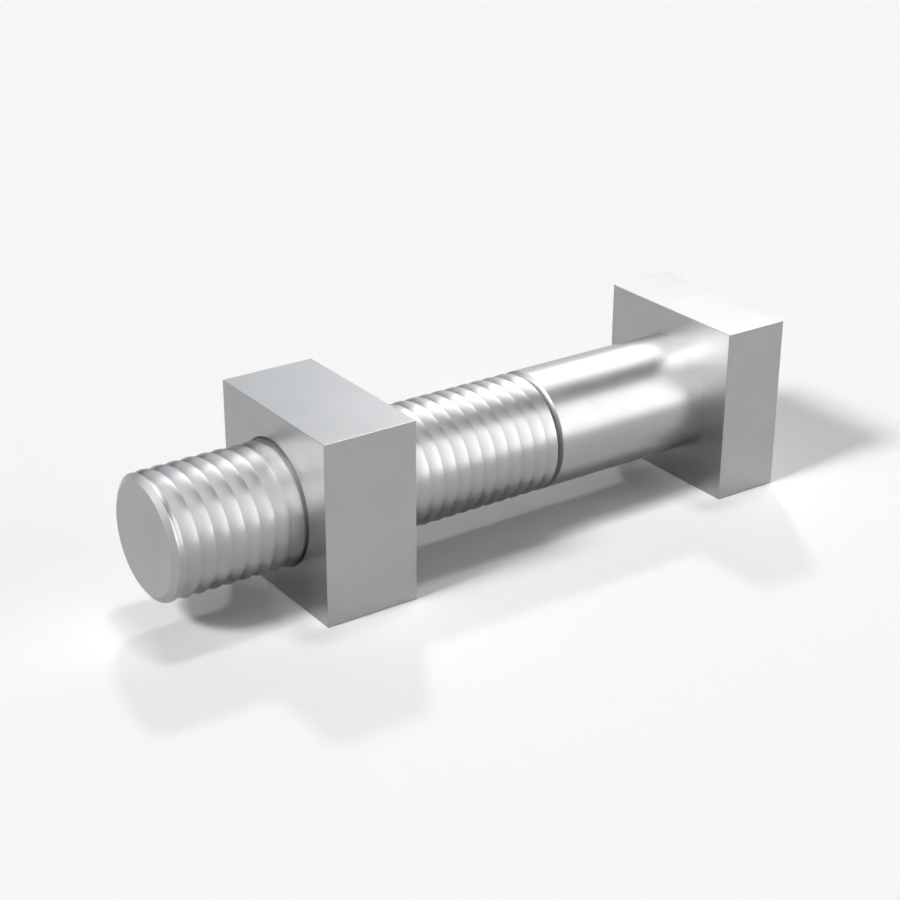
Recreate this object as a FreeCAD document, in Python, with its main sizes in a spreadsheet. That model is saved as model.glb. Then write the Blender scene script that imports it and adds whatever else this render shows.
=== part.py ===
import FreeCAD, Part
import os
import Sketcher

# Square head bolt with a square nut on its thread, lying with its axis along X.
# The origin is on the axis, in the plane of the head's bearing face.
# The head is on the +X side, the threaded tip points to -X, and +Z is up.
# Head and nut are the same width across their flats, so the part lies level on them.

doc = FreeCAD.newDocument("square_head_bolt")

# Driving dimensions, in millimetres.
SIZES = [
    ("across_flats", 30.0, "head and nut, from flat to flat"),
    ("nominal_diameter", 20.0, "outside of the shank and of the thread"),
    ("bolt_length", 100.0, "from the bearing face to the tip"),
    ("head_height", 12.1, "thickness of the head"),
    ("neck_cone", 0.5, "45 degree cone between the shank and the bearing face"),
    ("plain_length", 30.0, "shank without thread, from the bearing face"),
    ("relief_width", 1.05, "ring groove between the plain shank and the thread"),
    ("relief_taper", 0.9, "length of the ring groove's conical side"),
    ("relief_undercut", 0.17, "how much deeper the ring groove is than the thread"),
    ("tip_chamfer", 1.2, "45 degree chamfer at the tip"),
    ("thread_pitch", 2.5, "advance of the single-start right-hand thread in one turn"),
    ("thread_depth", 0.85, "depth of the thread's V groove"),
    ("crest_width", 0.5, "flat along the thread's crest"),
    ("cutter_overrun", 0.2, "how far the thread's cutting form stands out of the stock"),
    ("lead_in", 3.5, "how far past the tip the thread's cut begins"),
    ("core_overlap", 2.0, "how far the shank's core reaches into the thread stock"),
    ("nut_height", 16.0, "thickness of the nut"),
    ("nut_grip", 61.9, "from the head's bearing face to the nut"),
    ("nut_clearance", 0.1, "radial gap between the thread's crests and the nut's bore"),
]

sheet = doc.addObject("Spreadsheet::Sheet", "sizes")
for row, (alias, value, meaning) in enumerate(SIZES, start=1):
    sheet.set("A%d" % row, str(value))
    sheet.setAlias("A%d" % row, alias)
    sheet.set("B%d" % row, meaning)
doc.recompute()

# Sizes that follow from the driving ones, as expressions.
shank_radius = "sizes.nominal_diameter / 2"
root_radius = f"({shank_radius} - sizes.thread_depth)"
relief_radius = f"({root_radius} - sizes.relief_undercut)"
bore_radius = f"({shank_radius} + sizes.nut_clearance)"
half_flats = "sizes.across_flats / 2"
thread_start = "(sizes.plain_length + sizes.relief_width)"


def origin_feature(body, role):
    """The body's own origin plane or axis with this role."""
    return next(f for f in body.Origin.OriginFeatures if f.Role == role)


def new_body(name):
    body = doc.addObject("PartDesign::Body", name)
    body.Label = name
    return body


def outline(body, name, plane, corners):
    """A closed sketch of straight lines through corners, each a pair of expressions.

    In XZ_Plane a corner is its X and its Z, and in YZ_Plane its Y and its Z.
    """
    sketch = body.newObject("Sketcher::SketchObject", name)
    sketch.AttachmentSupport = (origin_feature(body, plane), [""])
    sketch.MapMode = "FlatFace"
    places = [FreeCAD.Vector(sheet.evalExpression(u), sheet.evalExpression(v), 0) for u, v in corners]
    count = len(corners)
    for i in range(count):
        sketch.addGeometry(Part.LineSegment(places[i], places[(i + 1) % count]), False)
    for i in range(count):
        sketch.addConstraint(Sketcher.Constraint("Coincident", i, 2, (i + 1) % count, 1))
    for i, (u, v) in enumerate(corners):
        for kind, expression, value in (("DistanceX", u, places[i].x), ("DistanceY", v, places[i].y)):
            datum = sketch.addConstraint(Sketcher.Constraint(kind, -1, 1, i, 1, value))
            sketch.setExpression("Constraints[%d]" % datum, expression)
    return sketch


def turned(body, name, corners):
    """The outline through corners turned once round the X axis and added to the body."""
    feature = body.newObject("PartDesign::Revolution", name)
    feature.Profile = outline(body, name + "_outline", "XZ_Plane", corners)
    feature.ReferenceAxis = (origin_feature(body, "X_Axis"), [""])
    feature.Angle = 360
    return feature


def square_block(body, name, height):
    """A square across the flats, padded along X by the expression height."""
    block = body.newObject("PartDesign::Pad", name)
    block.Profile = outline(body, name + "_outline", "YZ_Plane", [
        (f"-{half_flats}", f"-{half_flats}"),
        (half_flats, f"-{half_flats}"),
        (half_flats, half_flats),
        (f"-{half_flats}", half_flats),
    ])
    block.setExpression("Length", height)
    return block


# The bolt starts as round stock for the thread, chamfered at the tip.
bolt = new_body("bolt")
turned(bolt, "thread_stock", [
    (f"-{thread_start}", "0"),
    (f"-{thread_start}", shank_radius),
    ("sizes.tip_chamfer - sizes.bolt_length", shank_radius),
    ("-sizes.bolt_length", f"{shank_radius} - sizes.tip_chamfer"),
    ("-sizes.bolt_length", "0"),
])

# A V-shaped form cuts the thread's groove along a right-hand helix.
# It starts clear of the tip and runs out past the inner end of the stock.
cut_start = "(-sizes.bolt_length - sizes.lead_in)"
groove_half_width = "(sizes.thread_pitch - sizes.crest_width) / 2"
form_half_width = f"{groove_half_width} * (1 + sizes.cutter_overrun / sizes.thread_depth)"
form_radius = f"{shank_radius} + sizes.cutter_overrun"
thread = bolt.newObject("PartDesign::SubtractiveHelix", "thread")
thread.Profile = outline(bolt, "thread_form", "XZ_Plane", [
    (cut_start, root_radius),
    (f"{cut_start} - {form_half_width}", form_radius),
    (f"{cut_start} + {form_half_width}", form_radius),
])
thread.ReferenceAxis = (origin_feature(bolt, "X_Axis"), [""])
thread.Mode = "pitch-height-angle"
thread.setExpression("Pitch", "sizes.thread_pitch")
thread.setExpression("Height", f"-{cut_start} - {thread_start} + sizes.thread_pitch / 2")
thread.Angle = 0
thread.LeftHanded = False
thread.Reversed = False

# The plain shank widens at the head and joins the stock through the core of the ring groove.
turned(bolt, "shank", [
    ("0", "0"),
    ("0", f"{shank_radius} + sizes.neck_cone"),
    ("-sizes.neck_cone", shank_radius),
    ("-sizes.plain_length", shank_radius),
    ("-sizes.plain_length - sizes.relief_taper", relief_radius),
    (f"-{thread_start} - sizes.core_overlap", relief_radius),
    (f"-{thread_start} - sizes.core_overlap", "0"),
])
square_block(bolt, "head", "sizes.head_height")

# The nut is a square block with a bore that runs freely over the thread's crests.
# Its own frame starts at the face that clamps.
square_nut = new_body("square_nut")
square_nut.setExpression("Placement.Base.x", "-sizes.nut_grip")
block = square_block(square_nut, "block", "sizes.nut_height")
block.Reversed = True

bore = square_nut.newObject("PartDesign::Groove", "bore")
bore.Profile = outline(square_nut, "bore_outline", "XZ_Plane", [
    ("0", "0"),
    ("0", bore_radius),
    ("-sizes.nut_height", bore_radius),
    ("-sizes.nut_height", "0"),
])
bore.ReferenceAxis = (origin_feature(square_nut, "X_Axis"), [""])
bore.Angle = 360
doc.recompute()

failed = [o.Label for o in doc.Objects if "Invalid" in o.State or "Error" in o.State]
if failed:
    raise RuntimeError("not built: " + ", ".join(failed))
nodes = [bolt, square_nut]
for node in nodes:
    if node.Shape.isNull() or not node.Shape.isValid() or len(node.Shape.Solids) != 1:
        raise RuntimeError(node.Label + " is not one valid solid")

os.makedirs("parts", exist_ok=True)
for node in nodes:
    node.Shape.exportStep("parts/%s.step" % node.Label)
    box = node.Shape.BoundBox
    print("%s: volume %.1f mm3, x %.3f to %.3f, z %.3f to %.3f"
          % (node.Label, node.Shape.Volume, box.XMin, box.XMax, box.ZMin, box.ZMax))
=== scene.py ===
import bpy
import math
from mathutils import Matrix, Vector


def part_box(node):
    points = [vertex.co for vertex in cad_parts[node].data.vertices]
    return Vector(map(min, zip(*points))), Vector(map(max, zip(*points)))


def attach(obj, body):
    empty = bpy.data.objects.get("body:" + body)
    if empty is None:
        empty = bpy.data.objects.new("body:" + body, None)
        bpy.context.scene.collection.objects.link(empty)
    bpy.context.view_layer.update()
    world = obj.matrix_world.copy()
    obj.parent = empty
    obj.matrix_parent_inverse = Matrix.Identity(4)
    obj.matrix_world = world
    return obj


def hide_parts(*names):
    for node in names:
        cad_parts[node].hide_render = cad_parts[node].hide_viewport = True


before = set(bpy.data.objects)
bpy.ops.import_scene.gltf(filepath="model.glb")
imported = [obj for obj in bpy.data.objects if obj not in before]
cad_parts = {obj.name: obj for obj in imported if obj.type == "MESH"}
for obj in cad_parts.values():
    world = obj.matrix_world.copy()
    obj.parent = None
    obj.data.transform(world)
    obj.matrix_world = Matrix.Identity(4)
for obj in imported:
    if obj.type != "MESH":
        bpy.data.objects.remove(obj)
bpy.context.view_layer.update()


# The bolt is one piece of bare steel: a bar forged to a square head, turned to 20 mm and threaded.
# The thread comes first. One ridge is drawn and screwed along the axis, past both ends of the thread,
# and a turned blank with the tip's chamfer trims it. Then the shank and the head are joined to it.
tip_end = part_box("bolt")[0].x
head_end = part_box("bolt")[1].x
half_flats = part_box("bolt")[1].z
shank_radius = 0.010
pitch = 0.0025
ridge_height = 0.0006
# Where the ridge's points lie on the way from one groove, at 0, to the next, at 1.
ridge_shares = (0, 0.04, 0.08, 0.13, 0.2, 0.3, 0.4, 0.5, 0.6, 0.7, 0.8, 0.87, 0.92, 0.96, 1)
first_groove = -0.1085
thread_turns = 33
steps_per_turn = 96
# Points nearer than this are one point.
same_point = 0.000001
# The bar's ends are cut at these turns from the first groove, between the mesh's own points. The cuts
# are exact to a tenth of a micrometre, because a looser cut moves points and leaves the bar open.
end_cuts = (1.605, thread_turns - 0.395)
exact_cut = 0.0000001


def only(piece):
    """Makes this piece the one that operators act on."""
    bpy.ops.object.select_all(action="DESELECT")
    piece.select_set(True)
    bpy.context.view_layer.objects.active = piece


def apply_modifier(piece, kind, **settings):
    only(piece)
    bpy.ops.object.modifier_add(type=kind)
    modifier = piece.modifiers[-1]
    for name, value in settings.items():
        setattr(modifier, name, value)
    bpy.ops.object.modifier_apply(modifier=modifier.name)


def combine(piece, operation, tool):
    """Joins the tool to the piece, cuts it away or keeps what both share, and uses the tool up."""
    apply_modifier(piece, "BOOLEAN", operation=operation, object=tool, solver="EXACT")
    only(tool)
    bpy.ops.object.delete()


def start_piece(name):
    """Names the primitive just added, fixes its place in its mesh and opens it for shaping."""
    piece = bpy.context.object
    piece.name = name
    bpy.ops.object.transform_apply(location=True, rotation=True, scale=True)
    bpy.ops.object.mode_set(mode="EDIT")
    return piece


def turn_faces_out():
    bpy.ops.mesh.select_all(action="SELECT")
    bpy.ops.mesh.normals_make_consistent(inside=False)
    bpy.ops.object.mode_set(mode="OBJECT")


def ridge_rise(share):
    """How far the ridge stands above its groove, at this share of the way to the next groove."""
    return ridge_height * (1 - (2 * share - 1) ** 2)


def threaded_bar(name, groove_radius):
    """A closed bar about the X axis with a right-hand thread, whose groove is on top at first_groove."""
    bpy.ops.object.select_all(action="DESELECT")
    bpy.ops.mesh.primitive_plane_add(size=0.001, location=(first_groove, 0, groove_radius))
    bar = start_piece(name)
    bpy.ops.mesh.merge(type="CENTER")
    for here, there in zip(ridge_shares, ridge_shares[1:]):
        rise = ridge_rise(there) - ridge_rise(here)
        bpy.ops.mesh.extrude_region_move(TRANSFORM_OT_translate={"value": (pitch * (there - here), 0, rise)})
    bpy.ops.object.mode_set(mode="OBJECT")
    apply_modifier(bar, "SCREW", axis="X", screw_offset=pitch, iterations=thread_turns, angle=math.tau,
                   steps=steps_per_turn, render_steps=steps_per_turn,
                   use_merge_vertices=True, merge_threshold=same_point)
    bpy.ops.object.mode_set(mode="EDIT")
    bpy.ops.mesh.select_all(action="SELECT")
    bpy.ops.mesh.remove_doubles(threshold=same_point)
    for turns, outward in zip(end_cuts, (-1, 1)):
        bpy.ops.mesh.select_all(action="SELECT")
        bpy.ops.mesh.bisect(plane_co=(first_groove + turns * pitch, 0, 0), plane_no=(outward, 0, 0),
                            use_fill=True, clear_outer=True, threshold=exact_cut)
    turn_faces_out()
    return bar


def turned(name, stations):
    """A turned solid about the X axis: a disc drawn out through stations of (x, radius)."""
    x, radius = stations[0]
    bpy.ops.object.select_all(action="DESELECT")
    bpy.ops.mesh.primitive_circle_add(vertices=2 * steps_per_turn, radius=radius, fill_type="NGON",
                                      location=(x, 0, 0), rotation=(0, math.pi / 2, 0))
    piece = start_piece(name)
    for next_x, next_radius in stations[1:]:
        bpy.ops.mesh.extrude_region_move(TRANSFORM_OT_translate={"value": (next_x - x, 0, 0)})
        factor = next_radius / radius
        bpy.ops.transform.resize(value=(1, factor, factor), center_override=(next_x, 0, 0))
        x, radius = next_x, next_radius
    turn_faces_out()
    return piece


bolt = threaded_bar("square_head_bolt", shank_radius - ridge_height)
thread_end = -0.03105
tip_chamfer = 0.0012
# The blank stands proud of the ridges, so that it trims only the thread's ends.
proud = 0.0003
combine(bolt, "INTERSECT", turned("blank", [
    (thread_end, shank_radius + proud),
    (tip_end + tip_chamfer - proud, shank_radius + proud),
    (tip_end, shank_radius - tip_chamfer),
]))

# The shank is plain up to a ring groove, which clears the die where the thread begins.
ring_start = -0.030
ring_slope = 0.0005
ring_floor = 0.00898
overlap_in_thread = 0.001
overlap_in_head = 0.002
combine(bolt, "UNION", turned("shank", [
    (overlap_in_head, shank_radius),
    (ring_start, shank_radius),
    (ring_start - ring_slope, ring_floor),
    (thread_end - overlap_in_thread, ring_floor),
]))

# The head's six faces are flat, and its edges are only just broken.
edge_break = 0.00012


def square_block(name, low_x, high_x):
    bpy.ops.object.select_all(action="DESELECT")
    bpy.ops.mesh.primitive_cube_add(size=1, location=((low_x + high_x) / 2, 0, 0),
                                    scale=(high_x - low_x, 2 * half_flats, 2 * half_flats))
    block = start_piece(name)
    bpy.ops.mesh.bevel(offset=edge_break, segments=2, affect="EDGES")
    bpy.ops.object.mode_set(mode="OBJECT")
    return block


combine(bolt, "UNION", square_block("head", 0, head_end))

# Faces that meet at more than this angle, in degrees, meet at a crisp edge.
corner_angle = 30


def shade(piece):
    """Shading that is smooth round the turned faces, flat on the flat ones and crisp at the edges."""
    only(piece)
    bpy.ops.object.mode_set(mode="EDIT")
    bpy.ops.mesh.select_all(action="SELECT")
    bpy.ops.mesh.remove_doubles(threshold=2 * same_point)
    turn_faces_out()
    bpy.ops.object.shade_smooth_by_angle(angle=math.radians(corner_angle))
    apply_modifier(piece, "WEIGHTED_NORMAL", keep_sharp=True, weight=100)


shade(bolt)

# The thread is rolled, which burnishes its ridges, so light runs along them almost as on a plain bar.
burnish = 0.9


def burnished(nodes, link, place):
    """The surface's own normal, turned most of the way to a plain bar's where the thread is."""
    def operate(operation, *values):
        node = nodes.new("ShaderNodeMath")
        node.operation = operation
        for socket, value in zip(node.inputs, values):
            if isinstance(value, (int, float)):
                socket.default_value = value
            else:
                link(value, socket)
        return node.outputs["Value"]

    # The plain bar's normal points straight out from the axis.
    normal = nodes.new("ShaderNodeNewGeometry").outputs["Normal"]
    split = nodes.new("ShaderNodeSeparateXYZ")
    link(place, split.inputs["Vector"])
    across = nodes.new("ShaderNodeCombineXYZ")
    link(split.outputs["Y"], across.inputs["Y"])
    link(split.outputs["Z"], across.inputs["Z"])
    outward = nodes.new("ShaderNodeVectorTransform")
    outward.vector_type = "NORMAL"
    outward.convert_from = "OBJECT"
    outward.convert_to = "WORLD"
    link(across.outputs["Vector"], outward.inputs["Vector"])

    # Faces that lean 60 degrees or more from straight out, such as the tip's end, keep their own normals.
    facing = nodes.new("ShaderNodeVectorMath")
    facing.operation = "DOT_PRODUCT"
    link(normal, facing.inputs[0])
    link(outward.outputs["Vector"], facing.inputs[1])
    round_face = operate("GREATER_THAN", facing.outputs["Value"], 0.5)
    chamfer_end = tip_end + tip_chamfer
    on_thread = operate("COMPARE", split.outputs["X"], (thread_end + chamfer_end) / 2,
                        (thread_end - chamfer_end) / 2)

    # A Mix node takes vectors at its inputs 4 and 5, and gives one at its output 1.
    bar = nodes.new("ShaderNodeMix")
    bar.data_type = "VECTOR"
    link(operate("MULTIPLY", operate("MULTIPLY", on_thread, round_face), burnish), bar.inputs["Factor"])
    link(normal, bar.inputs[4])
    link(outward.outputs["Vector"], bar.inputs[5])

    unit = nodes.new("ShaderNodeVectorMath")
    unit.operation = "NORMALIZE"
    link(bar.outputs[1], unit.inputs[0])
    return unit.outputs["Vector"]


def satin_steel(name, tone, rolled=False):
    """Bare steel off the machine: a soft sheen, slightly uneven, with faint marks across the axis."""
    material = bpy.data.materials.new(name)
    material.use_nodes = True
    nodes = material.node_tree.nodes
    link = material.node_tree.links.new
    shader = nodes["Principled BSDF"]
    shader.inputs["Metallic"].default_value = 1
    place = nodes.new("ShaderNodeTexCoord").outputs["Object"]

    def noise(scale, detail, where):
        node = nodes.new("ShaderNodeTexNoise")
        node.inputs["Scale"].default_value = scale
        node.inputs["Detail"].default_value = detail
        link(where, node.inputs["Vector"])
        return node.outputs["Fac"]

    # The tone varies in clouds a few millimetres wide.
    tint = nodes.new("ShaderNodeValToRGB")
    tint.color_ramp.elements[0].position = 0.3
    tint.color_ramp.elements[0].color = (0.965 * tone, 0.972 * tone, 0.98 * tone, 1)
    tint.color_ramp.elements[1].position = 0.7
    tint.color_ramp.elements[1].color = (1.02 * tone, 1.028 * tone, 1.036 * tone, 1)
    link(noise(160, 4, place), tint.inputs["Fac"])
    link(tint.outputs["Color"], shader.inputs["Base Color"])

    # The roughness varies in smaller ones.
    sheen = nodes.new("ShaderNodeMapRange")
    sheen.inputs["From Min"].default_value = 0.3
    sheen.inputs["From Max"].default_value = 0.7
    sheen.inputs["To Min"].default_value = 0.32
    sheen.inputs["To Max"].default_value = 0.36
    link(noise(420, 5, place), sheen.inputs["Value"])
    link(sheen.outputs["Result"], shader.inputs["Roughness"])

    # The marks are half a millimetre wide or less along the axis, and long across it.
    across = nodes.new("ShaderNodeMapping")
    across.inputs["Scale"].default_value = (2600, 60, 60)
    marks = nodes.new("ShaderNodeBump")
    marks.inputs["Strength"].default_value = 0.5
    marks.inputs["Distance"].default_value = 0.000002
    link(place, across.inputs["Vector"])
    link(noise(1, 3, across.outputs["Vector"]), marks.inputs["Height"])
    link(marks.outputs["Normal"], shader.inputs["Normal"])
    if rolled:
        link(burnished(nodes, link, place), marks.inputs["Normal"])
    return material


steel_tone = 0.34
bolt.data.materials.clear()
bolt.data.materials.append(satin_steel("bolt_steel", steel_tone, rolled=True))
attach(bolt, "bolt")
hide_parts("bolt")


# The nut is a square block of the same steel, as wide as the head, tapped right through.
# The tap cuts the bolt's own thread a little larger, so the nut runs on it without touching,
# and a countersink at each face leads the thread in.
nut_tip_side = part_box("square_nut")[0].x
nut_head_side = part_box("square_nut")[1].x
thread_play = 0.00008
countersink = 0.0003
# The countersinking cone reaches this far out of the nut's face, and this far in.
reach = 0.001
nut = square_block("square_nut_block", nut_tip_side, nut_head_side)
combine(nut, "DIFFERENCE", threaded_bar("tap", shank_radius - ridge_height + thread_play))
for face, inward in ((nut_tip_side, 1), (nut_head_side, -1)):
    combine(nut, "DIFFERENCE", turned("countersink", [
        (face - inward * reach, shank_radius + countersink + reach),
        (face + inward * reach, shank_radius + countersink - reach),
    ]))
shade(nut)
nut.data.materials.clear()
nut.data.materials.append(satin_steel("nut_steel", steel_tone))
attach(nut, "nut")
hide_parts("square_nut")


# The floor is matt white paper, laid flat under the bolt and cut wide enough to fill the picture.
# It isn't part of the object.
def matt(name, tone):
    """A matt colour with no gloss at all, from white paper to black felt."""
    material = bpy.data.materials.new(name)
    material.use_nodes = True
    shader = material.node_tree.nodes["Principled BSDF"]
    shader.inputs["Base Color"].default_value = (tone, tone, tone, 1)
    shader.inputs["Roughness"].default_value = 1
    shader.inputs["Specular IOR Level"].default_value = 0
    return material


bpy.ops.object.select_all(action="DESELECT")
bpy.ops.mesh.primitive_circle_add(vertices=96, radius=5, fill_type="NGON", location=(0, 0, -half_flats))
floor = bpy.context.object
floor.name = "floor"
floor.data.materials.append(matt("white_paper", 0.92))


# The studio: pale walls under a darker ceiling, three small lamps that draw the shadows on the paper,
# two wide dim ones that soften them, and panels at the back, front, side and top that the steel reflects.
world = bpy.context.scene.world or bpy.data.worlds.new("studio")
bpy.context.scene.world = world
world.use_nodes = True
world_nodes = world.node_tree.nodes
world_link = world.node_tree.links.new
direction = world_nodes.new("ShaderNodeTexCoord")
height = world_nodes.new("ShaderNodeSeparateXYZ")
walls = world_nodes.new("ShaderNodeValToRGB")
walls.color_ramp.elements[0].position = 0
walls.color_ramp.elements[0].color = (0.86, 0.86, 0.86, 1)
walls.color_ramp.elements[1].position = 0.4
walls.color_ramp.elements[1].color = (0.22, 0.22, 0.22, 1)
ray = world_nodes.new("ShaderNodeLightPath")
strength = world_nodes.new("ShaderNodeMapRange")
strength.inputs["To Min"].default_value = 1
strength.inputs["To Max"].default_value = 0.235
world_link(direction.outputs["Generated"], height.inputs["Vector"])
world_link(height.outputs["Z"], walls.inputs["Fac"])
world_link(walls.outputs["Color"], world_nodes["Background"].inputs["Color"])
world_link(ray.outputs["Is Diffuse Ray"], strength.inputs["Value"])
world_link(strength.outputs["Result"], world_nodes["Background"].inputs["Strength"])


def towards(azimuth, elevation):
    """The direction this many degrees round from +X towards +Y, and up from the floor."""
    around, up = math.radians(azimuth), math.radians(elevation)
    return Vector((math.cos(around) * math.cos(up), math.sin(around) * math.cos(up), math.sin(up)))


def shadow_lamp(name, azimuth, elevation, width, level):
    """A far round lamp, width degrees across, that lights a level floor to this level."""
    lamp = bpy.data.lights.new(name, "SUN")
    lamp.angle = math.radians(width)
    lamp.energy = level * math.pi / math.sin(math.radians(elevation))
    holder = bpy.data.objects.new(name, lamp)
    bpy.context.scene.collection.objects.link(holder)
    holder.matrix_world = towards(azimuth, elevation).to_track_quat("Z", "Y").to_matrix().to_4x4()
    holder.visible_glossy = False
    return holder


middle_of_bolt = Vector((-0.045, 0, 0))
panel_distance = 2


def softbox(name, azimuth, elevation, width, height, brightness, along=middle_of_bolt.x, colour=(1, 1, 1)):
    """A panel that the steel reflects, 2 m from the place this far along the bolt's axis.

    Its width and height are in degrees, as seen from that place, and a brightness of 1 is white.
    """
    lamp = bpy.data.lights.new(name, "AREA")
    lamp.shape = "RECTANGLE"
    lamp.size = 2 * panel_distance * math.tan(math.radians(width / 2))
    lamp.size_y = 2 * panel_distance * math.tan(math.radians(height / 2))
    lamp.energy = brightness * math.pi * lamp.size * lamp.size_y
    lamp.color = colour
    holder = bpy.data.objects.new(name, lamp)
    bpy.context.scene.collection.objects.link(holder)
    aim = towards(azimuth, elevation)
    turn = aim.to_track_quat("Z", "Y").to_matrix().to_4x4()
    holder.matrix_world = Matrix.Translation(Vector((along, 0, 0)) + panel_distance * aim) @ turn
    holder.visible_diffuse = False
    holder.visible_camera = False


# Of the shadow lamps, the steel reflects only the key.
key = shadow_lamp("key", 181, 42.5, 12, 0.465)
key.visible_glossy = True
shadow_lamp("back_lamp", 60, 42.5, 5, 0.128)
shadow_lamp("top_lamp", 28, 78, 9, 0.20)
shadow_lamp("back_fill", 29, 38, 44, 0.08)
shadow_lamp("front_fill", -40, 20, 40, 0.068)
softbox("back_softbox", 34.75, 40, 33.5, 37, 4.2)
softbox("back_screen", 64, 28.5, 22, 39, 1.1, colour=(0.96, 0.99, 1.03))
softbox("front_strip", -90, 27.5, 55, 59, 3.45, along=2.04)
softbox("front_screen", -90, 43, 66, 60, 1.2, along=-0.25)
softbox("side_softbox", 158, 41, 72, 42, 6.8)
softbox("side_screen", 207, 43, 26, 38, 1.8)
softbox("side_strip", 234, 20, 34, 44, 5.7)
softbox("ceiling", 0, 90, 42, 42, 1.75)

# A black card behind the bolt keeps the steel dark between the reflections of the panels.
card_aim = towards(91, 22)
bpy.ops.mesh.primitive_plane_add(size=1, location=middle_of_bolt + panel_distance * card_aim,
                                 rotation=card_aim.to_track_quat("Z", "Y").to_euler())
card = bpy.context.object
card.name = "black_card"
card.scale = (2.15, 2.3, 1)
bpy.ops.object.transform_apply(location=True, rotation=True, scale=True)
card.visible_camera = False
card.visible_diffuse = False
card.visible_shadow = False
card.data.materials.append(matt("black_felt", 0.02))


# The camera stands where the photograph was taken from, found from the corners of head and nut.
camera_data = bpy.data.cameras.new("camera")
camera_data.lens = 77.46
camera_data.sensor_width = 36
camera = bpy.data.objects.new("camera", camera_data)
bpy.context.scene.collection.objects.link(camera)
forward = Vector((0.52007, 0.74739, -0.41344)).normalized()
right = Vector((0.82157, -0.57009, 0.0029))
right = (right - forward * right.dot(forward)).normalized()
up = right.cross(forward)
camera.matrix_world = Matrix((
    (right.x, up.x, -forward.x, -0.20734),
    (right.y, up.y, -forward.y, -0.23276),
    (right.z, up.z, -forward.z, 0.12909),
    (0, 0, 0, 1),
))
bpy.context.scene.camera = camera
bpy.context.scene.view_settings.view_transform = "Standard"
